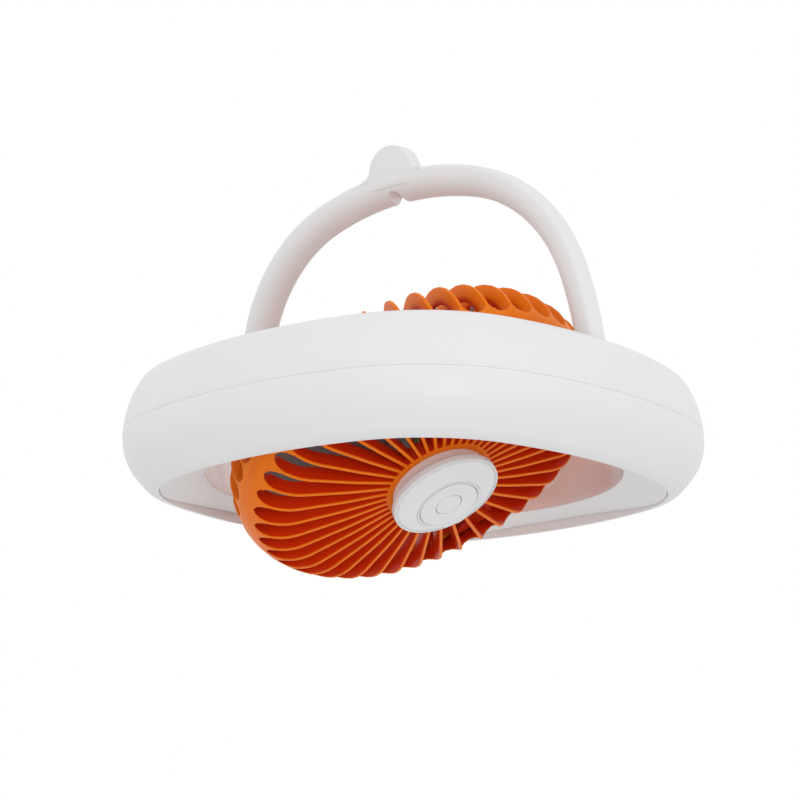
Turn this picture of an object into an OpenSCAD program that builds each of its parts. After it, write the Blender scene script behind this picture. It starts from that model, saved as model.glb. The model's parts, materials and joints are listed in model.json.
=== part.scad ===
// Hanging camping fan and lantern. A fan head tilts inside a soft-square ring that holds the
// cells and the lamp. A folding handle carries the ring. Millimetres, +Z up, +X along the
// handle's hinge, origin on the hang notch at the crown of the handle.

/* [Ring] */
// Half width of the ring, from its centre to the middle of a side
ring_half_w = 125; // [112:0.5:140]
// Width of the ring, from the middle of a side in to the liner
ring_w = 26; // [24:0.5:30]
// How much smaller the corners' plan radius is than the half width
corner_cut = 44; // [40:0.8:48]
// Height of the crown over the widest line
crown_rise = 31; // [29:0.5:34]
// Depth of the belly under the widest line
belly_drop = 24.5; // [23:0.5:27]
// Distance from the widest line in to the crown line
bulge_w = 17.5; // [16.5:0.1:18.5]
// Radius of the crown
crown_r = 12.5; // [11:0.1:13.5]
// Radius of the flank under the widest line
flank_r = 26; // [24:0.5:28]
// Radius of the belly
belly_r = 10; // [9:0.1:11]
// Wall of the two ring shells
shell_wall = 2.2; // [1.8:0.1:2.6]
// Height of the seam over the ring's middle plane
seam_z = -2; // [-3:0.1:-1.5]

/* [Ledge and handle] */
// Distance from the middle of a side in to the raised handle's outer face
handle_inset = 14.5; // [13:0.5:16]
// Lean of the raised handle away from upright
handle_lean = 6.5; // [0:0.5:12]
// How much smaller the handle's corner radius is than its half span
handle_cut = 27.2; // [20:0.8:28]
// Space between the handle and the ledge wall
ledge_gap = 1.3; // [1:0.1:1.6]
// Height of the ledge floor over the middle plane
ledge_z = 8; // [7.5:0.1:10]
// Width of the handle in its own plane
handle_w = 14; // [13:0.1:15]
// Thickness of the handle
handle_t = 11; // [10.5:0.1:12]
// Radius of the handle's outer edges
handle_edge_r = 2.5; // [1.5:0.1:3.5]
// Radius of the round face between the handle's front and its inner edge
handle_round_r = 9.5; // [8:0.1:10]
// Radius of the feet about the hinge
foot_r = 6.5; // [6:0.1:7]
// Radius of the hinge pins
hinge_pin_r = 2.5; // [2:0.05:3]
// Radius of the finger tab
tab_r = 13; // [11:0.1:14]
// Thickness of the finger tab
tab_t = 8; // [7:0.1:9]
// Distance from the crown's outline out to the tab's centre
tab_out = 0; // [-1:0.1:2]
// Radius of the fillets beside the tab
tab_fillet_r = 5; // [4:0.1:7]
// Radius of the hang notch
notch_r = 3.5; // [2.5:0.05:4]
// Depth of the notch's centre above the handle's inner face
notch_depth = 0.8; // [0.3:0.1:1.2]

/* [Liner and lamp] */
// Wall of the liner
liner_wall = 2; // [1.6:0.1:2.4]
// Depth of the liner's lower edge under the middle plane
liner_drop = 20.6; // [19.5:0.1:21.5]
// Fall of the lamp cover for each millimetre outward
cover_slope = 0.4; // [0.36:0.01:0.42]
// Thickness of the lamp cover
cover_t = 2; // [1.5:0.1:2.2]
// Number of lamp chips
chip_count = 32; // [16:4:40]

/* [Fan head] */
// Space between the head's equator and the liner
head_gap = 9; // [7.5:0.5:12]
// Height of the head's face over its equator
head_h = 29; // [28:0.1:31]
// Radius of the head's shoulder
shoulder_r = 24; // [22:0.5:25]
// Tilt of the head from level
head_tilt = 32; // [0:1:60]
// Depth of the ribs
rib_depth = 8; // [6:0.5:9]
// Thickness of the ribs
rib_t = 1.5; // [1.2:0.1:2]
// Number of ribs
rib_count = 42; // [30:1:48]
// Radius of the plain middle of a grille
grille_hub_r = 25; // [24:0.5:27]
// Distance from the head's equator in to the ends of the front slots
slot_margin = 4; // [3.8:0.1:6]
// Wall of the plain band
band_wall = 3.5; // [3:0.1:3.7]
// Height of the grilles' joint over the equator
joint_z = 7.5; // [7.5:0.1:8]
// Height of the rear grille's rim under the joint
rear_rim = 2.5; // [2:0.1:3]
// Radius of the tilt pins
pivot_r = 4; // [3:0.1:4.5]

/* [Hub cap and buttons] */
// Radius of the hub cap
cap_r = 26; // [25:0.5:27]
// Height of the cap's face over the grille's face
cap_h = 8.4; // [8:0.1:9.5]
// Height of the cap's full-width rim
cap_rim = 3.5; // [3.3:0.1:4]
// Radius of the outer button
button_r = 14.3; // [13:0.1:15]
// Radius of the inner button
inner_button_r = 6.3; // [5.5:0.1:7]
// Travel of both buttons
button_travel = 0.8; // [0.4:0.1:1]
// Place of the buttons on the cap, square to the tilt pins
button_x = 5; // [0:0.1:6]
// Place of the buttons on the cap, along the tilt pins
button_y = 7; // [0:0.1:7]

/* [Impeller and motor] */
// Space between the blades' tips and the grilles
tip_gap = 6; // [5.5:0.1:12]
// Number of blades
blade_count = 7; // [5:1:9]
// Thickness of a blade
blade_t = 1.5; // [1.2:0.1:2]
// Pitch of the blades at rest
blade_pitch = 32; // [26:1:34]
// Radius of the impeller's hub
hub_r = 21; // [20.5:0.1:23]
// Radius of the motor shaft
shaft_r = 1.5; // [1.2:0.1:1.8]

/* [Fits] */
// Gap between moving surfaces that meet flat
gap = 0.3; // [0.3:0.05:0.4]
// Radial clearance of turning fits
fit = 0.05; // [0.02:0.01:0.08]

/* [Hidden] */
$fn = 96;
eps = 0.01;
big = 400;
// Side arcs and corner arcs meet on the slope of a 7-24-25 triangle, which keeps the joints exact
blend_sin = 0.28;
blend_cos = 0.96;
wide_deg = asin(0.6);
shift_share = (blend_cos - blend_sin) / (1 - blend_cos + blend_sin);
centre_share = blend_sin * (1 + shift_share);
ring_in = 45;
liner_r = ring_half_w - ring_w;
head_r = liner_r - head_gap;
rear_bore = head_r - rib_depth;
impeller_r = rear_bore - tip_gap;
handle_half = ring_half_w - handle_inset;
// Ring section, in distance from the outline and height over the middle plane
widest_z = -5;
crown_z = widest_z + crown_rise;
belly_z = widest_z - belly_drop;
cheek_r = (pow(bulge_w, 2) + pow(crown_rise, 2) - 2 * crown_rise * crown_r) / (2 * (bulge_w - crown_r));
cheek_deg = atan2(crown_rise - crown_r, cheek_r - bulge_w);
flank_dx = flank_r - bulge_w;
flank_dz = belly_r - belly_drop;
flank_deg = atan2(flank_dz, flank_dx) + acos((flank_r - belly_r) / norm([flank_dx, flank_dz]));
lip_t = 2;
lip_h = 8;
// Handle: stands on the hinge and folds into the ledge
hinge_z = ledge_z + foot_r + 0.5;
foot_out = handle_half + 0.3;
spot_out = handle_half + ledge_gap + 0.3;
ledge_half = handle_half + ledge_gap;
hang_reach = handle_half - handle_w + notch_depth;
hang_y = -hang_reach * sin(handle_lean);
hang_z = hinge_z + hang_reach * cos(handle_lean);
pin_end = ring_half_w - 8;
tab_y = handle_half + tab_out;
crown_c = -handle_cut * shift_share;
crown_arc_r = handle_half - crown_c - 0.15;
fillet_up = (pow(crown_arc_r + tab_fillet_r, 2) - pow(tab_r + tab_fillet_r, 2)
    - pow(tab_y - crown_c, 2)) / (2 * (tab_y - crown_c));
fillet_x = sqrt(pow(tab_r + tab_fillet_r, 2) - pow(fillet_up, 2));
// Liner, lamp cover and what hangs in the ring
head_z = -1;
liner_out = liner_r + liner_wall;
mouth_r = sqrt(pow(liner_out, 2) - pow(ledge_z - head_z, 2)) + 0.2;
liner_edge_r = sqrt(pow(liner_r, 2) - pow(liner_drop + head_z, 2));
liner_foot_r = sqrt(pow(liner_out, 2) - pow(liner_drop + head_z, 2));
cover_inset = bulge_w + 0.3;
led_z = -17.6;
board_t = 1.2;
led_in_r = sqrt(pow(liner_out, 2) - pow(led_z + board_t - head_z, 2)) + 0.1;
led_w = 7;
cell_r = 9;
cell_l = 65;
cell_z = -6;
cell_out = liner_out + cell_r + 0.6;
post_r = 4;
post_inset = 6.5;
tab_plate_t = 2.4;
screw_r = 1.2;
socket_z = -8.8;
port_w = 15;
port_h = 8;
port_t = 1.3;
main_board_w = 16;
main_board_l = 30;
// Head
shoulder_x = head_r - shoulder_r;
shoulder_z = 0.8;
face_rise = (head_h - shoulder_z - shoulder_r) / shoulder_x;
face_deg = 90 - 2 * atan(face_rise);
face_r = shoulder_r + shoulder_x / cos(face_deg);
face_zc = head_h - face_r;
slot_deg = 360 / rib_count;
slot_end_r = head_r - slot_margin;
slot_half = tan(slot_deg / 2);
slot_round = (slot_end_r * slot_half - rib_t / 2) / (1 + slot_half);
slot_in = grille_hub_r + 1;
inner_face = head_h - rib_depth;
joint_deg = asin((joint_z - shoulder_z) / shoulder_r);
bore_h = 10;
bore_deg = asin((bore_h - shoulder_z) / (shoulder_r - rib_depth));
seat_z = head_h - 1;
boss_y = liner_r - 2.5;
pad_y = boss_y - 1.5;
bush_l = 8;
pivot_boss_r = pivot_r + 3.5;
grille_screw_r = head_r - 6;
screw_beside = 3.3;
screw_post_r = 3;
rear_post_h = 4.5;
front_post_h = 4;
// Cap and buttons
cap_top = head_h + cap_h;
cap_wall = 1.8;
cap_neck_r = cap_r - 3;
skin_z = cap_top - cap_wall;
board_z = seat_z - 3;
flange_t = 1;
flange_z = skin_z - flange_t;
// Motor, from the rear grille forward
base_z = 0.6 - inner_face;
base_t = 2;
base_r = 20;
tube_r = 4.5;
bearing_r = 3;
bearing_h = 2.5;
tube_top = base_z + 14.5;
stator_z = base_z + 5.5;
stator_h = 6.5;
stator_r = 15.5;
magnet_in = 16;
rotor_in = 17.2;
rotor_out = 18.2;
rotor_z = base_z + 4;
rotor_top = tube_top + 1.7;
hub_base = base_z + 5;
hub_top = rotor_top + 2.5;
nose_top = hub_top + 5;
white_shell = [0.88, 0.88, 0.89];
orange = [0.86, 0.36, 0.02];
steel = [0.7, 0.7, 0.72];

// ---- Outlines and sections ----

// Points along an arc
function arc(centre, r, from, to, steps) =
    [for (i = [0:steps]) let (a = from + (to - from) * i / steps) centre + r * [cos(a), sin(a)]];

// Outer curve of the upper shell, from a height up to the crown, drawn in by a wall
function upper_curve(wall, low) =
    let (r = cheek_r - wall, start = asin((low - widest_z) / r), ease = 3)
    concat(arc([-cheek_r, widest_z], r, start, cheek_deg - ease, 5),
        arc([-bulge_w, crown_z - crown_r], crown_r - wall, cheek_deg, 90, 6));

// Outer curve of the lower shell, from the belly up to a height, drawn in by a wall
function lower_curve(wall, high) =
    let (r = cheek_r - wall, end = asin((high - widest_z) / r))
    concat(arc([-bulge_w, belly_z + belly_r], belly_r - wall, -90, flank_deg, 4),
        arc([-flank_r, widest_z], flank_r - wall, flank_deg, 0, 5),
        arc([-cheek_r, widest_z], r, end / 2, end, 1));

// Turns one of the four joint planes' wedges into a cutter
module joint_wedge(centre, corner) {
    c = centre;
    far = 150;
    way = far * [blend_cos, blend_sin];
    points = corner
        ? [[c, c], [c + way.x, c + way.y], [c + far, c + far], [c + way.y, c + way.x]]
        : [[c, c], [c + way.x, c + way.y], [c + way.x, -c - way.y], [c, -c]];
    linear_extrude(big, center = true) polygon(points);
}

// Carries a section round a soft-square outline, over all four sides or fewer
module soft_sweep(half, cut, sides = [0:3], corners = [0:3]) {
    shift = cut * shift_share;
    centre = cut * centre_share;
    for (k = sides) rotate(90 * k) intersection() {
        translate([-shift, 0, 0]) rotate(-wide_deg)
            rotate_extrude(angle = 2 * wide_deg, $fn = 360) translate([half + shift, 0]) children();
        joint_wedge(centre, false);
    }
    for (k = corners) rotate(90 * k) intersection() {
        translate([centre, centre, 0]) rotate_extrude(angle = 90, $fn = 180) translate([half - cut, 0]) children();
        joint_wedge(centre, true);
    }
}

// The same outline as a flat shape with many short sides
module soft_outline(half, cut, steps = 10) {
    shift = cut * shift_share;
    centre = cut * centre_share;
    blend = asin(blend_sin);
    quarter = concat(arc([-shift, 0], half + shift, -blend, blend, steps),
        [for (i = [1:steps - 1]) let (a = blend + (90 - 2 * blend) * i / steps)
            [centre + (half - cut) * cos(a), centre + (half - cut) * sin(a)]]);
    polygon([for (k = [0:3]) for (p = quarter) let (c = cos(90 * k), s = sin(90 * k)) [c * p.x - s * p.y, s * p.x + c * p.y]]);
}

module ring_sweep() {
    soft_sweep(ring_half_w, corner_cut) children();
}

// A frame that follows the handle's outline and reaches in past the mouth
module ledge_frame(grow, low, high) {
    soft_sweep(ledge_half, handle_cut) translate([-ring_in, low]) square([ring_in + grow, high - low]);
}

module at_ring() {
    translate([0, -hang_y, -hang_z]) children();
}

module both_ends() {
    children();
    mirror([1, 0, 0]) children();
}

module both_pivots() {
    children();
    mirror([0, 1, 0]) children();
}

module along_x(r, from, to) {
    translate([from, 0, hinge_z]) rotate([0, 90, 0]) cylinder(r = r, h = to - from);
}

module along_y(r, from, to) {
    translate([0, from, 0]) rotate([-90, 0, 0]) cylinder(r = r, h = to - from);
}

// Eight places beside the corners, at the post's distance from the centre or a little less
module at_posts(less = 0) {
    for (k = [0:7]) let (a = 45 * k + 22.5, reach = post_centre() - less)
        translate([reach * cos(a), reach * sin(a), 0]) children();
}

// Distance from the centre to a post, on the side arc
function post_centre() =
    let (a = 22.5, shift = corner_cut * shift_share)
    sqrt(pow(ring_half_w + shift - post_inset, 2) - pow(shift * sin(a), 2)) - shift * cos(a);

// ---- Handle ----

// Section of the handle: full outer edge, round face toward the thin inner edge
module handle_section() {
    half = handle_t / 2;
    r = handle_edge_r;
    round_x = handle_round_r - handle_w;
    back_r = half * 2 - handle_round_r;
    polygon(concat(arc([-r, half - r], r, 0, 90, 4), arc([round_x, half - handle_round_r], handle_round_r, 90, 180, 8),
        [[back_r * 0.6 - handle_w, -half]], arc([-r, r - half], r, 270, 360, 4)));
}

module tab_outline() {
    f = [fillet_x, tab_y + fillet_up];
    to_crown = atan2(crown_c - f.y, -f.x) + 360;
    to_tab = atan2(-fillet_up, -f.x);
    from_tab = to_tab < 0 ? to_tab + 180 : to_tab - 180;
    right = arc(f, tab_fillet_r, to_crown, to_tab < 0 ? to_tab + 360 : to_tab, 5);
    over = arc([0, tab_y], tab_r, from_tab + 8, 172 - from_tab, 15);
    left = [for (i = [5:-1:0]) [-right[i].x, right[i].y]];
    foot = handle_half - handle_w / 2;
    polygon(concat([[right[0].x, foot]], right, over, left, [[-right[0].x, foot]]));
}

module handle_flat() {
    soft_sweep(handle_half, handle_cut, [1:1], [0:1]) handle_section();
    both_ends() intersection() {
        soft_sweep(handle_half, handle_cut, [0:0], []) handle_section();
        translate([0, 0, -handle_t]) cube([big, big, 2 * handle_t]);
    }
    translate([0, 0, handle_t / 2 - tab_t]) linear_extrude(tab_t - 0.2) tab_outline();
}

module handle_arch() {
    color(white_shell) at_ring() difference() {
        translate([0, 0, hinge_z]) rotate([handle_lean, 0, 0]) translate([0, 0, -hinge_z]) union() {
            translate([0, 0, hinge_z]) rotate([90, 0, 0]) handle_flat();
            both_ends() along_x(foot_r, handle_half - handle_w, foot_out);
        }
        both_ends() along_x(hinge_pin_r, handle_half - 9, handle_half + 1);
        translate([0, hang_y + handle_t, hang_z]) rotate([90, 0, 0]) cylinder(r = notch_r, h = 2 * handle_t);
    }
}

module hinge_pins() {
    color(steel) at_ring() both_ends() along_x(hinge_pin_r, handle_half - 9, pin_end);
}

module hinge_washers() {
    color(steel) at_ring() both_ends() difference() {
        along_x(foot_r - 1, foot_out + gap, spot_out);
        along_x(hinge_pin_r + fit, foot_out - 1, spot_out + 1);
    }
}

// ---- Ring ----

// Space for the folded handle and its tab, or with a wall round it
module ledge_cut(grow = 0) {
    side = fillet_x + 1.5 + grow;
    ledge_frame(grow, ledge_z - grow, crown_z + 2);
    translate([-side, ring_half_w / 2, ledge_z - grow]) cube([2 * side, ring_half_w, crown_z]);
}

module upper_shell() {
    color(white_shell) at_ring() difference() {
        ring_sweep() polygon(concat(upper_curve(0, seam_z), [[-ring_in, crown_z], [-ring_in, seam_z]]));
        difference() {
            ring_sweep() polygon(concat(upper_curve(shell_wall, seam_z - 1),
                [[1 - ring_in, crown_z - shell_wall], [1 - ring_in, seam_z - 1]]));
            ledge_cut(shell_wall);
            both_ends() along_x(foot_r, ring_half_w / 2, ring_half_w);
            at_posts() translate([0, 0, seam_z]) cylinder(r = post_r, h = crown_z);
        }
        ledge_cut();
        cylinder(r = mouth_r, h = 3 * crown_z, center = true);
        both_ends() along_x(foot_r + 0.3, ring_half_w / 2, spot_out);
        both_ends() along_x(hinge_pin_r + fit, ring_half_w / 2, pin_end + 0.5);
        translate([0, 0, head_z]) both_pivots() along_y(pivot_boss_r + 0.2, boss_y - 10, boss_y + bush_l + 0.2);
        at_posts() translate([0, 0, seam_z - 1]) cylinder(r = screw_r, h = 11);
    }
}

// Part of the flank between two depths under the skin, at the charging socket
module port_patch(shallow, deep, grow) {
    outer = arc([-flank_r, widest_z], flank_r - shallow, -asin((widest_z - socket_z + port_h / 2 + grow) / flank_r), 0, 4);
    inner = arc([-flank_r, widest_z], flank_r - deep, 0, -asin((widest_z - socket_z + port_h / 2 + grow) / (flank_r - deep)), 4);
    intersection() {
        soft_sweep(ring_half_w, corner_cut, [2:2], []) polygon(concat(outer, inner));
        translate([-ring_half_w - 5, -port_w / 2 - grow, belly_z]) cube([20, port_w + 2 * grow, -belly_z]);
    }
}

module lower_shell() {
    inner = lower_curve(shell_wall, seam_z);
    color(white_shell) at_ring() difference() {
        union() {
            ring_sweep() polygon(concat(lower_curve(0, seam_z), [for (i = [len(inner) - 1:-1:1]) inner[i]],
                [[lip_t - bulge_w, belly_z + 3], [lip_t - bulge_w, belly_z + lip_h], [-bulge_w, belly_z + lip_h]]));
            at_posts(0.6) translate([0, 0, seam_z - tab_plate_t]) cylinder(r = post_r + 0.8, h = tab_plate_t);
        }
        at_posts() translate([0, 0, seam_z - 5]) cylinder(r = screw_r + 0.3, h = 6);
        port_patch(-1, port_t + 0.05, 0.2);
        translate([-ring_half_w - 1, -5, socket_z - 1.9]) cube([12, 10, 3.8]);
    }
}

module inner_liner() {
    color([0.93, 0.93, 0.94]) at_ring() difference() {
        union() {
            rotate_extrude($fn = 360) intersection() {
                difference() {
                    translate([0, head_z]) circle(liner_out, $fn = 360);
                    translate([0, head_z]) circle(liner_r, $fn = 360);
                }
                translate([0, -liner_drop]) square([big, liner_drop + ledge_z]);
            }
            translate([0, 0, head_z]) both_pivots() along_y(pivot_boss_r, boss_y, boss_y + bush_l);
        }
        translate([0, 0, head_z]) both_pivots() along_y(pivot_r + 1.5, boss_y - 5, boss_y + bush_l + 1);
    }
}

// Conical lamp cover, round inside and soft-square outside
module light_cover() {
    in_r = liner_foot_r + 0.2;
    out_r = ring_half_w * 1.1;
    edge_z = -liner_drop - cover_slope * (in_r - liner_edge_r);
    fall = cover_slope * (out_r - in_r);
    color([0.9, 0.9, 0.9]) at_ring() intersection() {
        rotate_extrude($fn = 360)
            polygon([[in_r, edge_z], [out_r, edge_z - fall], [out_r, edge_z - fall + cover_t], [in_r, edge_z + cover_t]]);
        translate([0, 0, belly_z - 5]) linear_extrude(belly_drop + 5) soft_outline(ring_half_w - cover_inset, corner_cut);
    }
}

module led_board() {
    color([0.2, 0.45, 0.3]) at_ring() translate([0, 0, led_z]) rotate_extrude()
        translate([led_in_r, 0]) square([led_w, board_t]);
}

module led_chips() {
    color([0.95, 0.85, 0.4]) at_ring() for (k = [0:chip_count - 1])
        rotate(360 * (k + 0.5) / chip_count) translate([led_in_r + 2, -1.5, led_z - 0.8]) cube([3, 3, 0.8]);
}

module at_cells() {
    for (k = [0:3]) rotate(90 * k + 45) translate([cell_out, 0, cell_z]) children();
}

module battery_cells() {
    color([0.1, 0.35, 0.6]) at_ring() at_cells() rotate([90, 0, 0])
        cylinder(r = cell_r, h = cell_l, center = true);
}

module battery_cradles() {
    low = led_z + board_t;
    color([0.2, 0.2, 0.22]) at_ring() at_cells() difference() {
        translate([-cell_r + 1, -cell_l / 2 - 1.2, low - cell_z]) cube([2 * cell_r - 1, cell_l + 2.4, cell_z - 3 - low]);
        rotate([90, 0, 0]) cylinder(r = cell_r, h = cell_l + 0.4, center = true);
    }
}

module contact_plates() {
    color(steel) at_ring() at_cells() for (s = [-1, 1])
        translate([0, s * (cell_l / 2 + 0.4), 1.5]) cube([10, 0.6, 9], center = true);
}

module main_board() {
    color([0.1, 0.4, 0.25]) at_ring() translate([-ring_half_w + 3.9, -main_board_l / 2, socket_z - 1.6 - board_t])
        cube([main_board_w, main_board_l, board_t]);
}

module charge_socket() {
    color(steel) at_ring() translate([-ring_half_w + 2.2, 0, socket_z]) difference() {
        translate([0, -4.5, -1.6]) cube([8, 9, 3.2]);
        translate([-1, -4.1, -1.2]) cube([7, 8.2, 2.4]);
    }
    color([0.15, 0.15, 0.15]) at_ring() translate([-ring_half_w + 4, -3.3, socket_z - 0.35]) cube([5, 6.6, 0.7]);
}

// Soft cover that lies flush over the charging socket
module port_cover() {
    color([0.8, 0.8, 0.81]) at_ring() port_patch(0, port_t, 0);
}

module shell_screws() {
    color(steel) at_ring() at_posts() translate([0, 0, seam_z - tab_plate_t]) {
        translate([0, 0, -1.6]) cylinder(r = 2.3, h = 1.6);
        cylinder(r = screw_r, h = tab_plate_t + 8);
    }
}

module pivot_bushes() {
    color([0.75, 0.6, 0.35]) at_ring() translate([0, 0, head_z]) both_pivots() difference() {
        along_y(pivot_r + 1.5, boss_y, boss_y + bush_l);
        along_y(pivot_r + fit, boss_y - 1, boss_y + bush_l + 1);
    }
}

module tilt_washers() {
    color(steel) at_ring() translate([0, 0, head_z]) both_pivots() difference() {
        along_y(pivot_r + 3, pad_y, boss_y - gap);
        along_y(pivot_r, pad_y - 1, boss_y + 1);
    }
}

// ---- Fan head, drawn with its face toward +Z and then tilted ----

module at_head() {
    translate([0, -hang_y, head_z - hang_z]) rotate([0, 180 - head_tilt, 0]) children();
}

// Curve of the head from an angle on its shoulder to its axis, drawn in by a depth
function head_curve(inset, from) =
    concat(arc([shoulder_x, shoulder_z], shoulder_r - inset, from, face_deg, 7),
        arc([0, face_zc], face_r - inset, face_deg + (90 - face_deg) / 3, 90, 2));

function backward(points) = [for (i = [len(points) - 1:-1:0]) points[i]];

function flipped(points) = [for (p = points) [p.x, -p.y]];

// One slot of the grille: straight walls with a round outer end
module slot_shape() {
    centre = slot_end_r - slot_round;
    edge = slot_in * slot_half - rib_t / 2;
    polygon(concat([[slot_in, edge], [slot_in, -edge]], arc([centre, 0], centre * slot_half - rib_t / 2, -90, 90, 6)));
}

module slots() {
    linear_extrude(2 * head_h) for (k = [0:rib_count - 1]) rotate(slot_deg * k) slot_shape();
}

// Rear slots run over the shoulder and down the side to a round end under the rim
module rear_slots() {
    reach = head_r + 2;
    side = reach * slot_half - rib_t / 2;
    edge = slot_in * slot_half - rib_t / 2;
    end_r = side + 0.4;
    centre_z = joint_z - rear_rim - end_r;
    for (k = [0:rib_count - 1]) rotate(slot_deg * k) intersection() {
        translate([0, 0, -2 * head_h]) linear_extrude(4 * head_h)
            polygon([[slot_in, edge], [slot_in, -edge], [reach, -side], [reach, side]]);
        union() {
            translate([slot_in - 1, -side - 2, -1.5 * head_h]) cube([reach, 2 * side + 4, 1.5 * head_h + centre_z]);
            translate([slot_in - 1, 0, centre_z]) rotate([0, 90, 0]) cylinder(r = end_r, h = reach);
        }
    }
}

// Four places close beside a rib
module at_grille_screws() {
    for (k = [0:3]) let (a = slot_deg * (round(rib_count * (k + 0.5) / 4) + 0.5))
        translate([grille_screw_r * cos(a) - screw_beside * sin(a), grille_screw_r * sin(a) + screw_beside * cos(a), joint_z])
            children();
}

module front_grille() {
    bore = head_r - band_wall;
    color(orange) at_head() difference() {
        union() {
            difference() {
                rotate_extrude($fn = 180) polygon(concat(head_curve(0, joint_deg),
                    backward(head_curve(rib_depth, bore_deg)), [[bore, bore_h], [bore, joint_z]]));
                translate([0, 0, 1]) slots();
            }
            at_grille_screws() cylinder(r = screw_post_r, h = front_post_h);
        }
        at_grille_screws() translate([0, 0, -1]) cylinder(r = 0.9, h = front_post_h + 0.5);
        translate([0, 0, seat_z]) cylinder(r = cap_neck_r + fit, h = 5);
        translate([0, 0, board_z]) cylinder(r = cap_neck_r - 3, h = 5);
    }
}

module rear_grille() {
    inner = flipped(backward(head_curve(rib_depth, 0)));
    color(orange) at_head() difference() {
        union() {
            difference() {
                rotate_extrude($fn = 180) polygon(concat(arc([shoulder_x, shoulder_z], shoulder_r, joint_deg, 0, 2),
                    flipped(head_curve(0, 0)), inner, [[rear_bore, joint_z]]));
                rear_slots();
            }
            translate([0, 0, base_z - base_t]) cylinder(r = base_r + 1, h = base_t);
            both_pivots() along_y(pivot_r + 3, rear_bore + 1, pad_y);
            at_grille_screws() translate([0, 0, -rear_post_h]) cylinder(r = screw_post_r, h = rear_post_h);
        }
        both_pivots() along_y(pivot_r, head_r - band_wall - 1, pad_y + 1);
        at_grille_screws() translate([0, 0, -rear_post_h - 1]) cylinder(r = 1.2, h = rear_post_h + 2);
        at_grille_screws() translate([0, 0, -rear_post_h - 4]) cylinder(r = 2.3, h = 4);
    }
}

module grille_screws() {
    color(steel) at_head() at_grille_screws() translate([0, 0, -rear_post_h]) {
        translate([0, 0, -1.5]) cylinder(r = 2.1, h = 1.5);
        cylinder(r = 0.9, h = rear_post_h + front_post_h - 0.7);
    }
}

module pivot_pins() {
    color(steel) at_head() both_pivots() along_y(pivot_r, head_r - band_wall - 1, boss_y + bush_l + 0.5);
}

// ---- Motor and impeller ----

module ring_solid(in_r, out_r, low, high) {
    translate([0, 0, low]) rotate_extrude() translate([in_r, 0]) square([out_r - in_r, high - low]);
}

module motor_base() {
    color([0.3, 0.3, 0.32]) at_head() {
        ring_solid(bearing_r, base_r, base_z, base_z + base_t);
        ring_solid(bearing_r, tube_r, base_z + base_t, tube_top);
    }
}

module motor_board() {
    color([0.1, 0.4, 0.25]) at_head() ring_solid(tube_r, stator_r + 0.5, base_z + base_t, base_z + base_t + board_t);
}

module bearings() {
    color(steel) at_head() for (z = [base_z + base_t, tube_top - bearing_h])
        ring_solid(shaft_r + fit, bearing_r, z, z + bearing_h);
}

module stator_core() {
    color([0.55, 0.55, 0.57]) at_head() translate([0, 0, stator_z]) linear_extrude(stator_h) difference() {
        union() {
            circle(8);
            for (k = [0:8]) rotate(40 * k) translate([7, -1.2]) square([7.3, 2.4]);
            for (k = [0:8]) rotate(40 * k) intersection() {
                circle(stator_r);
                translate([13.6, -4]) square([4, 8]);
            }
        }
        circle(tube_r);
    }
}

module stator_windings() {
    color([0.72, 0.4, 0.2]) at_head() for (k = [0:8]) rotate(40 * k) difference() {
        translate([8.6, -2.6, stator_z - 1]) cube([4.8, 5.2, stator_h + 2]);
        translate([7, -1.2, stator_z]) cube([9, 2.4, stator_h]);
    }
}

module rotor_cup() {
    color(steel) at_head() {
        ring_solid(rotor_in, rotor_out, rotor_z, rotor_top);
        ring_solid(shaft_r, rotor_in + eps, rotor_top - 1, rotor_top);
    }
}

module magnet_ring() {
    color([0.25, 0.25, 0.27]) at_head() ring_solid(magnet_in, rotor_in, rotor_z + 1, rotor_top - 2);
}

module motor_shaft() {
    color(steel) at_head() translate([0, 0, base_z + gap]) cylinder(r = shaft_r, h = nose_top + 4 - base_z);
}

// One cambered blade: a piece of a tube whose axis runs outward
module blade() {
    camber_r = 42;
    rotate([blade_pitch, 0, 0]) translate([0, 0, -camber_r]) rotate([0, 90, 0]) difference() {
        cylinder(r = camber_r, h = impeller_r + 5);
        translate([0, 0, -1]) cylinder(r = camber_r - blade_t, h = impeller_r + 7);
    }
}

// Plan of a blade: swept leading edge, round tip corners
module blade_plan() {
    intersection() {
        circle(impeller_r);
        translate([impeller_r * 0.55, 4]) circle(impeller_r * 0.5);
        translate([0, -impeller_r / 3.2]) square([impeller_r, impeller_r / 1.5]);
    }
}

module impeller() {
    color([0.82, 0.84, 0.86]) at_head() difference() {
        union() {
            for (k = [0:blade_count - 1]) rotate(360 * k / blade_count) intersection() {
                blade();
                translate([0, 0, hub_base]) linear_extrude(26) blade_plan();
                ring_solid(hub_r - 1, impeller_r, -11, 9);
            }
            ring_solid(0, hub_r, hub_base, hub_top);
            translate([0, 0, hub_top]) cylinder(r1 = 8, r2 = 5, h = nose_top - hub_top);
        }
        translate([0, 0, hub_base - 1]) cylinder(r = rotor_out, h = rotor_top - hub_base + 1);
        cylinder(r = shaft_r, h = 4 * head_h, center = true);
    }
}

module lock_nut() {
    color(steel) at_head() difference() {
        translate([0, 0, nose_top]) cylinder(r = 3.2, h = 2.6, $fn = 6);
        cylinder(r = shaft_r, h = 4 * head_h, center = true);
    }
}

// ---- Hub cap and buttons ----

module at_buttons() {
    translate([button_x, button_y, 0]) children();
}

module hub_cap() {
    color(white_shell) at_head() difference() {
        union() {
            rotate_extrude() translate([0, cap_top - cap_rim]) square([cap_r, cap_rim]);
            translate([0, 0, seat_z]) cylinder(r = cap_neck_r, h = cap_top - cap_rim - seat_z + 1);
        }
        translate([0, 0, seat_z - 1]) cylinder(r = cap_neck_r - cap_wall, h = cap_top - cap_wall - seat_z + 1);
        at_buttons() translate([0, 0, skin_z - button_travel - gap]) cylinder(r = button_r + gap, h = cap_h);
    }
}

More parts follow.
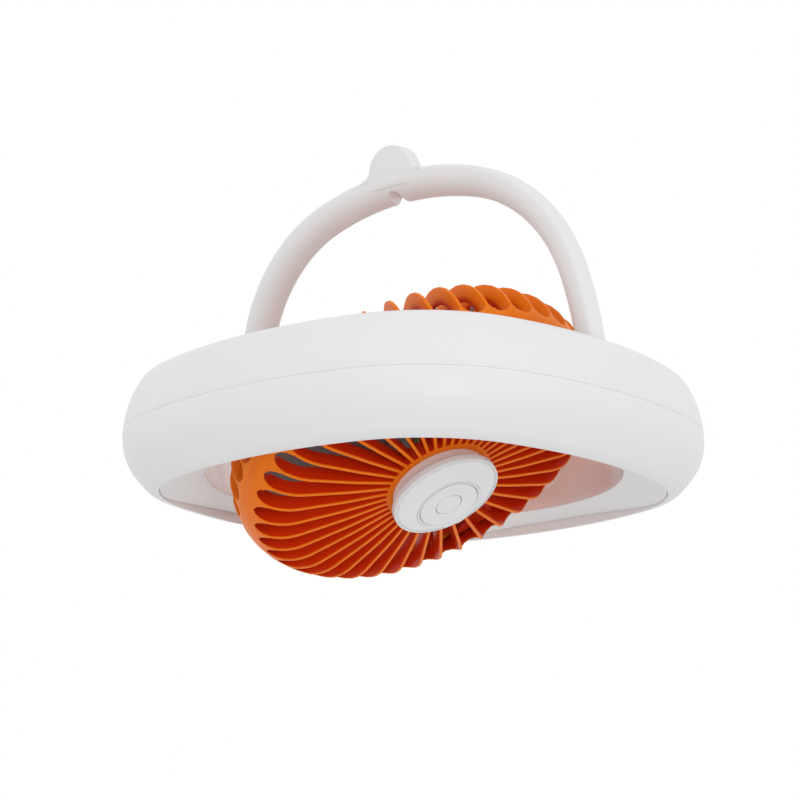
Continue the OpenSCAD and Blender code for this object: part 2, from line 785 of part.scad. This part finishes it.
module button_board() {
    color([0.1, 0.4, 0.25]) at_head() translate([0, 0, board_z]) difference() {
        cylinder(r = cap_neck_r - 3.2, h = board_t);
        for (s = [-1, 1]) translate([s * 14, -8, -1]) cylinder(r = 1.2, h = 5);
    }
}

module switch_domes() {
    floor_z = board_z + board_t;
    dome_h = flange_z - button_travel - gap - floor_z;
    color([0.3, 0.3, 0.3]) at_head() at_buttons() {
        translate([0, 0, floor_z]) cylinder(r = 3, h = dome_h);
        for (a = [60, 180, 300]) rotate(a) translate([8.5, 0, floor_z]) cylinder(r = 1.8, h = dome_h);
    }
}

// The button's skirt and flange are trimmed to the cap's round hollow
module outer_button() {
    color(white_shell) at_head() difference() {
        union() {
            at_buttons() translate([0, 0, skin_z]) cylinder(r = button_r, h = cap_wall);
            intersection() {
                translate([0, 0, flange_z - 1]) cylinder(r = cap_neck_r - cap_wall - gap, h = 2 + flange_t);
                at_buttons() {
                    translate([0, 0, flange_z]) cylinder(r = button_r, h = flange_t + eps);
                    translate([0, 0, flange_z]) cylinder(r = button_r + 1.5, h = flange_t - gap / 2);
                }
            }
        }
        at_buttons() translate([0, 0, flange_z - 2]) cylinder(r = inner_button_r + gap, h = 9);
        at_buttons() translate([0, 0, flange_z - 2]) cylinder(r = inner_button_r + 1.6, h = 2 + flange_t + button_travel + gap);
    }
}

module inner_button() {
    color(white_shell) at_head() at_buttons() {
        translate([0, 0, flange_z]) cylinder(r = inner_button_r, h = cap_wall + flange_t);
        translate([0, 0, flange_z]) cylinder(r = inner_button_r + 1.2, h = flange_t - gap / 2);
    }
}

handle_arch();
hinge_pins();
hinge_washers();
upper_shell();
lower_shell();
inner_liner();
light_cover();
led_board();
led_chips();
battery_cells();
battery_cradles();
contact_plates();
main_board();
charge_socket();
port_cover();
shell_screws();
pivot_bushes();
tilt_washers();
pivot_pins();
front_grille();
rear_grille();
grille_screws();
motor_base();
motor_board();
bearings();
stator_core();
stator_windings();
rotor_cup();
magnet_ring();
motor_shaft();
impeller();
lock_nut();
hub_cap();
button_board();
switch_domes();
outer_button();
inner_button();
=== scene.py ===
import bpy
import bmesh
import json
import math
from mathutils import Matrix, Vector


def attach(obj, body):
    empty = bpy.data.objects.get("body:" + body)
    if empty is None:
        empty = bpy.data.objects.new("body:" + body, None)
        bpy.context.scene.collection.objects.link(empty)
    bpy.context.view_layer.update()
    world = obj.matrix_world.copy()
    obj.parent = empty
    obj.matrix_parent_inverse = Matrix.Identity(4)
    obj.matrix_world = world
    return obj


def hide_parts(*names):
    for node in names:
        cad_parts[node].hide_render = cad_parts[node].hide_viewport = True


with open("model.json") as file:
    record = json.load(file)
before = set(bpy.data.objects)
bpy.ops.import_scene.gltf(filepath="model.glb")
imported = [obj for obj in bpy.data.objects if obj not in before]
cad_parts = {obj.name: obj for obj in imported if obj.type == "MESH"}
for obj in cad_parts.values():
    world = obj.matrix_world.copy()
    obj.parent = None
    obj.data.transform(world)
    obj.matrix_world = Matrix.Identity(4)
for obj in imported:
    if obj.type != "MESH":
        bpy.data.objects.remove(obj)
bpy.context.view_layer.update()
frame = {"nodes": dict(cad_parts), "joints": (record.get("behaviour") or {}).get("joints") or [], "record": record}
mm = 0.001
joints = {j["name"]: j for j in frame["joints"]}
nodes = frame["nodes"]
bodyOf = {n: b for b, members in frame["record"]["behaviour"]["bodies"].items() for n in members}
slotOf = {s["node"]: s["material_slot"] for s in frame["record"]["subparts"]}

headCentre = Vector(joints["head_tilt"]["pos_m"])
headAxis = Vector(joints["impeller_spin"]["axis"])  # the way the head faces
pinDrop = 1  # mm from the ring's middle plane down to the tilt pins
ringCentre = headCentre + Vector((0, 0, pinDrop * mm))
print("frame read")


# places are from the ring's centre in metres, square to the camera before the turn
cameraSpec = {
    "turn": 41, "lens": 118.16, "sensor": 36, "near": 0.05, "far": 40,
    "place": (0, -1.1933, -0.282), "aim": (-0.00532, 0.97007, 0.24251),
}


def turned(v):
    return Matrix.Rotation(math.radians(cameraSpec["turn"]), 3, "Z") @ Vector(v)


def hang(name, data, place):
    o = bpy.data.objects.new(name, data)
    bpy.context.scene.collection.objects.link(o)
    o.location = turned(place) + ringCentre
    o.rotation_mode = "QUATERNION"
    return o


def makeCamera():
    data = bpy.data.cameras.new("camera")
    data.lens = cameraSpec["lens"]
    data.sensor_width = cameraSpec["sensor"]
    data.clip_start = cameraSpec["near"]
    data.clip_end = cameraSpec["far"]
    cam = hang("camera", data, cameraSpec["place"])
    cam.rotation_quaternion = turned(cameraSpec["aim"]).to_track_quat("-Z", "Y")
    bpy.context.scene.camera = cam
    print("camera set")


def newGroup(name, inputs, outputs):
    tree = bpy.data.node_groups.new(name, "ShaderNodeTree")
    for title, kind, value in inputs:
        s = tree.interface.new_socket(title, in_out="INPUT", socket_type=kind)
        s.default_value = value
    for title, kind in outputs:
        tree.interface.new_socket(title, in_out="OUTPUT", socket_type=kind)
    a = tree.nodes.new("NodeGroupInput")
    b = tree.nodes.new("NodeGroupOutput")
    return tree, a.outputs, b.inputs


def link(tree, a, b):
    tree.links.new(a, b)


def add(tree, kind, **values):
    n = tree.nodes.new(kind)
    for k, v in values.items():
        setattr(n, k, v)
    return n


def preset(node, values):
    for title, value in values.items():
        node.inputs[title].default_value = value


mouldSpec = {"grain": 2200, "grainDetail": 3, "grainShare": 0.3, "wave": 14, "waveDetail": 2}


def mouldGroup():
    # fine spark-eroded grain with a slow sink of the moulded wall
    tree, i, o = newGroup("mouldedSurface",
        [("Grain", "NodeSocketFloat", mouldSpec["grain"]), ("Wave", "NodeSocketFloat", mouldSpec["wave"])],
        [("Height", "NodeSocketFloat"), ("Tone", "NodeSocketFloat")])
    at = add(tree, "ShaderNodeTexCoord")
    fine = add(tree, "ShaderNodeTexNoise")
    slow = add(tree, "ShaderNodeTexNoise")
    low = add(tree, "ShaderNodeMath", operation="MULTIPLY")
    both = add(tree, "ShaderNodeMath", operation="ADD")
    preset(fine, {"Detail": mouldSpec["grainDetail"]})
    preset(slow, {"Detail": mouldSpec["waveDetail"]})
    low.inputs[1].default_value = mouldSpec["grainShare"]
    link(tree, at.outputs["Object"], fine.inputs["Vector"])
    link(tree, at.outputs["Object"], slow.inputs["Vector"])
    link(tree, i["Grain"], fine.inputs["Scale"])
    link(tree, i["Wave"], slow.inputs["Scale"])
    link(tree, fine.outputs["Fac"], low.inputs[0])
    link(tree, low.outputs[0], both.inputs[0])
    link(tree, slow.outputs["Fac"], both.inputs[1])
    link(tree, both.outputs[0], o["Height"])
    link(tree, slow.outputs["Fac"], o["Tone"])
    return tree


handlingSpec = {"size": 22, "detail": 5, "from": 0.42, "to": 0.66, "extra": 0.06}


def handlingGroup():
    # soft smudges and rubbed places that change only the gloss
    tree, i, o = newGroup("handledGloss",
        [("Clean", "NodeSocketFloat", 0.4), ("Rubbed", "NodeSocketFloat", 0.5)],
        [("Roughness", "NodeSocketFloat")])
    at = add(tree, "ShaderNodeTexCoord")
    spots = add(tree, "ShaderNodeTexNoise")
    edge = add(tree, "ShaderNodeMapRange")
    mix = add(tree, "ShaderNodeMix", data_type="FLOAT")
    preset(spots, {"Scale": handlingSpec["size"], "Detail": handlingSpec["detail"]})
    preset(edge, {"From Min": handlingSpec["from"], "From Max": handlingSpec["to"]})
    link(tree, at.outputs["Object"], spots.inputs["Vector"])
    link(tree, spots.outputs["Fac"], edge.inputs["Value"])
    link(tree, edge.outputs["Result"], mix.inputs["Factor"])
    link(tree, i["Clean"], mix.inputs["A"])
    link(tree, i["Rubbed"], mix.inputs["B"])
    link(tree, mix.outputs["Result"], o["Roughness"])
    return tree


def slotShadeGroup():
    # painted shade: a darker, redder colour on the walls of the grilles' slots, by their depth under the head's
    # outer form
    tree, i, o = newGroup("slotWallShade",
        [("Face", "NodeSocketColor", (1, 1, 1, 1)), ("ShadeColour", "NodeSocketColor", (1, 1, 1, 1)),
        ("From", "NodeSocketFloat", 0), ("To", "NodeSocketFloat", mm)],
        [("Colour", "NodeSocketColor")])
    walls = add(tree, "ShaderNodeAttribute", attribute_name="wallDepth")
    reach = add(tree, "ShaderNodeMapRange", interpolation_type="SMOOTHSTEP")
    inside = add(tree, "ShaderNodeMix", data_type="RGBA")
    link(tree, walls.outputs["Fac"], reach.inputs["Value"])
    link(tree, i["From"], reach.inputs["From Min"])
    link(tree, i["To"], reach.inputs["From Max"])
    link(tree, reach.outputs["Result"], inside.inputs["Factor"])
    link(tree, i["Face"], inside.inputs["A"])
    link(tree, i["ShadeColour"], inside.inputs["B"])
    link(tree, inside.outputs["Result"], o["Colour"])
    return tree


mould = mouldGroup()
handling = handlingGroup()
slotWallShade = slotShadeGroup()

# what a finish has where its own values below don't say; bumpDepth is in mm
plasticSpec = {
    "grain": mouldSpec["grain"], "wave": mouldSpec["wave"], "toneDrop": 0.97, "bump": 0.08, "bumpDepth": 0.4,
    "specular": 0.5, "coat": 0, "coatRough": 0.1,
}


def plastic(name, own):
    # one plastic with grain, slow tone change and handled gloss
    spec = {**plasticSpec, **own}
    rubbed = spec.get("rubbed", spec["rough"] + handlingSpec["extra"])
    second = spec.get("second", [c * spec["toneDrop"] for c in spec["colour"]])
    m = bpy.data.materials.new(name)
    m.use_nodes = True
    tree = m.node_tree
    p = tree.nodes["Principled BSDF"]
    grain = add(tree, "ShaderNodeGroup", node_tree=mould)
    gloss = add(tree, "ShaderNodeGroup", node_tree=handling)
    tone = add(tree, "ShaderNodeMix", data_type="RGBA")
    bump = add(tree, "ShaderNodeBump")
    preset(grain, {"Grain": spec["grain"], "Wave": spec["wave"]})
    preset(gloss, {"Clean": spec["rough"], "Rubbed": rubbed})
    preset(tone, {"A": (*spec["colour"], 1), "B": (*second, 1)})
    preset(bump, {"Strength": spec["bump"], "Distance": spec["bumpDepth"] * mm})
    link(tree, grain.outputs["Tone"], tone.inputs["Factor"])
    link(tree, gloss.outputs["Roughness"], p.inputs["Roughness"])
    link(tree, grain.outputs["Height"], bump.inputs["Height"])
    link(tree, bump.outputs["Normal"], p.inputs["Normal"])
    # painted shade: the slot walls darken towards the given red the deeper they lie
    if "deep" in spec:
        walls = add(tree, "ShaderNodeGroup", node_tree=slotWallShade)
        preset(walls, {"ShadeColour": (*spec["deep"], 1), "From": spec["deepFrom"] * mm, "To": spec["deepTo"] * mm})
        link(tree, tone.outputs["Result"], walls.inputs["Face"])
        link(tree, walls.outputs["Colour"], p.inputs["Base Color"])
    else:
        link(tree, tone.outputs["Result"], p.inputs["Base Color"])
    p.inputs["Specular IOR Level"].default_value = spec["specular"]
    p.inputs["Coat Weight"].default_value = spec["coat"]
    p.inputs["Coat Roughness"].default_value = spec["coatRough"]
    return m


def metal(name, spec):
    # the same grain and slow tone change on metal
    m = plastic(name, spec)
    m.node_tree.nodes["Principled BSDF"].inputs["Metallic"].default_value = 1
    return m


finishes = {
    "white_plastic": plastic("satinWhiteShell", {
        "colour": (0.815, 0.815, 0.818), "rough": 0.42, "bump": 0.05}),
    "cap_plastic": plastic("satinWhiteCap", {"colour": (0.83, 0.83, 0.835), "rough": 0.36, "bump": 0.04}),
    "liner_gloss": plastic("polishedLiner", {
        "colour": (0.9, 0.9, 0.902), "rough": 0.14, "rubbed": 0.24, "bump": 0.03,
        "specular": 0.7, "coat": 0.7, "coatRough": 0.06}),
    "lamp_cover": plastic("frostedLampCover", {
        "colour": (0.80, 0.80, 0.803), "rough": 0.5, "grain": 1500, "bump": 0.1}),
    "orange_plastic": plastic("glossOrange", {
        "colour": (0.88, 0.19, 0.005), "second": (0.84, 0.172, 0.004),
        "rough": 0.34, "rubbed": 0.42, "bump": 0.04, "specular": 0.12,
        # painted shade on the front grille's slot walls, coming in from 0.15 to 0.9 mm under the outer form
        "deep": (0.68, 0.032, 0.001), "deepFrom": 0.15, "deepTo": 0.9}),
    "rear_orange": plastic("glossOrangeRear", {
        "colour": (0.9, 0.21, 0.006), "second": (0.86, 0.19, 0.005),
        "rough": 0.34, "rubbed": 0.42, "bump": 0.04, "specular": 0.12,
        # painted shade on the rear grille's slot walls, coming in from 4.5 to 7.6 mm under the outer form
        "deep": (0.62, 0.03, 0.001), "deepFrom": 4.5, "deepTo": 7.6}),
    "circuit_board": plastic("solderMask", {
        "colour": (0.02, 0.16, 0.07), "second": (0.03, 0.2, 0.09), "rough": 0.3, "wave": 160}),
    "lamp_chips": plastic("phosphorLens", {"colour": (0.9, 0.72, 0.25), "rough": 0.2}),
    "cell_wrap": plastic("shrinkWrap", {"colour": (0.03, 0.11, 0.3), "rough": 0.25, "wave": 60}),
    "black_plastic": plastic("blackHolder", {"colour": (0.03, 0.03, 0.032), "rough": 0.5, "bump": 0.15}),
    "bright_steel": metal("brightSteel", {
        "colour": (0.6, 0.6, 0.62), "rough": 0.25, "grain": 900, "wave": 80}),
    "grey_rubber": plastic("softPlug", {"colour": (0.68, 0.68, 0.69), "rough": 0.62, "bump": 0.12}),
    "bearing_brass": metal("bearingBrass", {
        "colour": (0.7, 0.5, 0.22), "rough": 0.28, "grain": 900, "wave": 80}),
    "motor_iron": metal("laminatedIron", {
        "colour": (0.25, 0.25, 0.27), "rough": 0.4, "grain": 1200, "wave": 90}),
    "copper_wire": metal("enamelledCopper", {
        "colour": (0.7, 0.28, 0.12), "rough": 0.3, "grain": 1200, "wave": 200}),
    "grey_plastic": plastic("greyImpeller", {"colour": (0.17, 0.165, 0.16), "rough": 0.34, "bump": 0.05}),
}
print("finishes mixed")


def dress(node):
    o = nodes[node]
    m = finishes[slotOf[node]]
    if o.data.materials:
        for k in range(len(o.data.materials)):
            o.data.materials[k] = m
    else:
        o.data.materials.append(m)


for name in nodes:
    dress(name)
print("cad nodes dressed")


# lengths in mm, angles in degrees
meshSpec = {"weld": 0.01, "sliver": 0.005, "flat": 0.2, "sharp": 50, "smooth": 35, "cut": 0.0001}


def place(bm, name, node, finish=None):
    # turns a finished bmesh into a piece that stands for one cad node
    mesh = bpy.data.meshes.new(name)
    bmesh.ops.recalc_face_normals(bm, faces=bm.faces[:])
    bm.to_mesh(mesh)
    bm.free()
    mesh.polygons.foreach_set("use_smooth", [True] * len(mesh.polygons))
    mesh.set_sharp_from_angle(angle=math.radians(meshSpec["smooth"]))
    mesh.materials.append(finishes[finish or slotOf[node]])
    piece = bpy.data.objects.new(name, mesh)
    bpy.context.scene.collection.objects.link(piece)
    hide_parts(node)
    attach(piece, bodyOf[node])
    return piece


def sharpEdges(bm):
    limit = math.radians(meshSpec["sharp"])
    return [e for e in bm.edges if len(e.link_faces) == 2 and e.calc_face_angle(0) > limit]


def onHead(point):
    # height over the head's equator and distance from its axis, in mm
    way = point - headCentre
    return way.dot(headAxis) / mm, (way - way.dot(headAxis) * headAxis).length / mm


# outer form of the head, in mm
headShape = {"radius": 90, "shoulder": 24, "shoulderRise": 0.8, "height": 29}


def wallDepths(bm):
    # how far each point of a grille lies under the head's outer form, which sets where the slot walls get painted
    # shade
    h = headShape
    flat = h["radius"] - h["shoulder"]
    bend = 2 * math.atan((h["height"] - h["shoulderRise"] - h["shoulder"]) / flat)
    faceR = h["shoulder"] + flat / math.sin(bend)
    layer = bm.verts.layers.float.new("wallDepth")
    for v in bm.verts:
        up, out = onHead(v.co)
        up = abs(up)
        side = h["shoulder"] - math.hypot(out - flat, up - h["shoulderRise"])
        face = faceR - math.hypot(out, up + faceR - h["height"])
        past = math.atan2(out, up + faceR - h["height"]) < bend
        v[layer] = max(0, h["radius"] - out if up < h["shoulderRise"] else face if past else side) * mm


# all in mm
dishSpec = {
    "radius": 26, "top": 37.4, "round": 0.5,  # the cap, and the height of its face over the head's equator
    "skin": 3.3, "ramp": 1.4,  # how far down the sinking reaches, and the part over which it fades
    "rim": 1.2, "lip": 0.8, "step": 0.22,  # the rim, and the slope inside it with its fall
    "bowl": 0.45, "bowlRun": 13,  # the hollow inside the slope, and how far in it deepens
    "grid": 2,  # between the cuts that let the face bend
    "slack": 0.1, "level": 0.02,  # what still counts as inside the rim, and as flat
}


def eased(x):
    x = min(1, max(0, x))
    return x * x * (3 - 2 * x)


def dish(bm):
    # sinks the face of the cap and keys a little inside a thin rim
    d = dishSpec
    across = headAxis.cross(Vector((0, 1, 0))).normalized()
    along = headAxis.cross(across).normalized()
    if max(onHead(v.co)[1] for v in bm.verts) > d["radius"] - d["rim"]:  # only the cap has the rim
        for width in (d["rim"], d["lip"]):
            face = [f for f in bm.faces if onHead(f.calc_center_median())[0] > d["top"] - d["level"]]
            bmesh.ops.inset_region(bm, faces=face, thickness=width * mm,
                use_boundary=True, use_even_offset=True)
    for way in (across, along):
        for k in range(-d["radius"], d["radius"] + 1, d["grid"]):
            everything = bm.verts[:] + bm.edges[:] + bm.faces[:]
            bmesh.ops.bisect_plane(bm, geom=everything, dist=meshSpec["cut"] * mm,
                plane_co=headCentre + way * k * mm, plane_no=way)
    edge = d["radius"] - d["round"] - d["rim"]
    for v in bm.verts:
        up, out = onHead(v.co)
        if up > d["top"] - d["skin"] and out < edge + d["slack"]:
            share = min(1, (up - d["top"] + d["skin"]) / d["ramp"])
            step = d["step"] * eased((edge - out) / d["lip"])
            bowl = d["bowl"] * eased((edge - d["lip"] - out) / d["bowlRun"])
            v.co -= headAxis * share * (step + bowl) * mm


# in mm from the ring's centre: the cover's inner edge and the place it is moved to
coverSpec = {"inside": 99.7, "under": -20.8, "tuckedRadius": 97.15, "tuckedHeight": -20.68}


def coverEdge(bm):
    # the lamp cover runs in under the liner's edge
    c = coverSpec
    for v in bm.verts:
        at = v.co - ringCentre
        out = math.hypot(at.x, at.y) / mm
        if out < c["inside"] and at.z / mm < c["under"]:
            turn = c["tuckedRadius"] / out
            v.co = ringCentre + Vector((at.x * turn, at.y * turn, c["tuckedHeight"] * mm))


def softCopy(node, spec):
    # the cad mesh with its triangles joined, flat faces cleared and its sharp edges rounded
    bm = bmesh.new()
    bm.from_mesh(nodes[node].data)
    bmesh.ops.remove_doubles(bm, verts=bm.verts[:], dist=meshSpec["weld"] * mm)
    bmesh.ops.dissolve_degenerate(bm, edges=bm.edges[:], dist=meshSpec["sliver"] * mm)
    bmesh.ops.dissolve_limit(bm, angle_limit=math.radians(meshSpec["flat"]),
        verts=bm.verts[:], edges=bm.edges[:])
    if spec.get("round"):
        bmesh.ops.bevel(bm, geom=sharpEdges(bm), offset=spec["round"] * mm, offset_type="OFFSET",
            segments=spec.get("steps", 2), profile=0.5, affect="EDGES", clamp_overlap=False, material=-1)
    bmesh.ops.triangulate(bm, faces=[f for f in bm.faces if len(f.verts) > 4])
    if "shape" in spec:
        spec["shape"](bm)
    return place(bm, spec["name"], node, spec.get("finish"))


# the rounding of each piece's edges in mm, its steps, and what else shapes it
softened = {
    "upper_shell": {"name": "upperShell", "round": 0.25},
    "lower_shell": {"name": "lowerShell", "round": 0.25},
    "handle_arch": {"name": "handle", "round": 0.3},
    "inner_liner": {"name": "liner", "round": 0.25},
    "light_cover": {"name": "lampCover", "shape": coverEdge},
    "front_grille": {"name": "frontGrille", "round": 0.25, "shape": wallDepths},
    "rear_grille": {"name": "rearGrille", "round": 0.25, "shape": wallDepths, "finish": "rear_orange"},
    "hub_cap": {"name": "hubCap", "round": dishSpec["round"], "steps": 4, "shape": dish},
    "outer_button": {"name": "outerKey", "round": 0.25, "steps": 3, "shape": dish},
    "inner_button": {"name": "innerKey", "round": 0.25, "steps": 3, "shape": dish},
    "impeller": {"name": "impellerBlades", "round": 0.2},
    "pivot_pins": {"name": "tiltPins", "round": 0.3},
}
for node, spec in softened.items():
    softCopy(node, spec)
print("cad shapes smoothed")


# in metres, with the ambient light as a share of white
roomSpec = {
    "floorDrop": 0.42, "size": 5, "ambient": 0.90,
    "floor": {"colour": (0.86, 0.86, 0.86), "rough": 0.8, "specular": 0.1, "bump": 0},
}


def makeFloor():
    bm = bmesh.new()
    bmesh.ops.create_grid(bm, x_segments=1, y_segments=1, size=roomSpec["size"])
    bmesh.ops.translate(bm, verts=bm.verts[:], vec=(0, 0, ringCentre.z - roomSpec["floorDrop"]))
    mesh = bpy.data.meshes.new("floor")
    bm.to_mesh(mesh)
    bm.free()
    floor = bpy.data.objects.new("floor", mesh)
    bpy.context.scene.collection.objects.link(floor)
    mesh.materials.append(plastic("paleFloor", roomSpec["floor"]))
    print("floor laid")


def makeWorld():
    # white where the camera or a mirror looks past the part, and a little less as light
    world = bpy.data.worlds.new("world")
    bpy.context.scene.world = world
    world.use_nodes = True
    tree = world.node_tree
    tree.nodes.clear()
    seen = add(tree, "ShaderNodeLightPath")
    mirrored = add(tree, "ShaderNodeMath", operation="MAXIMUM")
    through = add(tree, "ShaderNodeMath", operation="MAXIMUM")
    light = add(tree, "ShaderNodeBackground")
    white = add(tree, "ShaderNodeBackground")
    mix = add(tree, "ShaderNodeMixShader")
    out = add(tree, "ShaderNodeOutputWorld")
    preset(light, {"Color": (1, 1, 1, 1), "Strength": roomSpec["ambient"]})
    preset(white, {"Color": (1, 1, 1, 1), "Strength": 1})
    link(tree, seen.outputs["Is Camera Ray"], mirrored.inputs[0])
    link(tree, seen.outputs["Is Glossy Ray"], mirrored.inputs[1])
    link(tree, mirrored.outputs[0], through.inputs[0])
    link(tree, seen.outputs["Is Transmission Ray"], through.inputs[1])
    link(tree, through.outputs[0], mix.inputs["Fac"])
    link(tree, light.outputs[0], mix.inputs[1])
    link(tree, white.outputs[0], mix.inputs[2])
    link(tree, mix.outputs[0], out.inputs["Surface"])
    print("world lit")


# sizes in metres, spreads in degrees, places as the camera's
lampSpec = {
    "key": {"at": (-0.6, -1.5, 1.2), "size": 1.6, "watts": 2.0, "spread": 180},
    "fill": {"at": (1.6, -0.5, 0.3), "size": 1.4, "watts": 0.8, "spread": 180},
    "under": {"at": (0.25, -0.95, -0.26), "size": 0.3, "watts": 0.09, "spread": 50},
}


def makeLamps():
    for name, s in lampSpec.items():
        data = bpy.data.lights.new(name, "AREA")
        data.shape = "DISK"
        data.size = s["size"]
        data.energy = s["watts"]
        data.spread = math.radians(s["spread"])
        lamp = hang(name, data, s["at"])
        lamp.rotation_quaternion = (ringCentre - lamp.location).to_track_quat("-Z", "Y")
    print("lamps hung")


makeCamera()
makeFloor()
makeWorld()
makeLamps()
bpy.context.scene.view_settings.view_transform = "Standard"
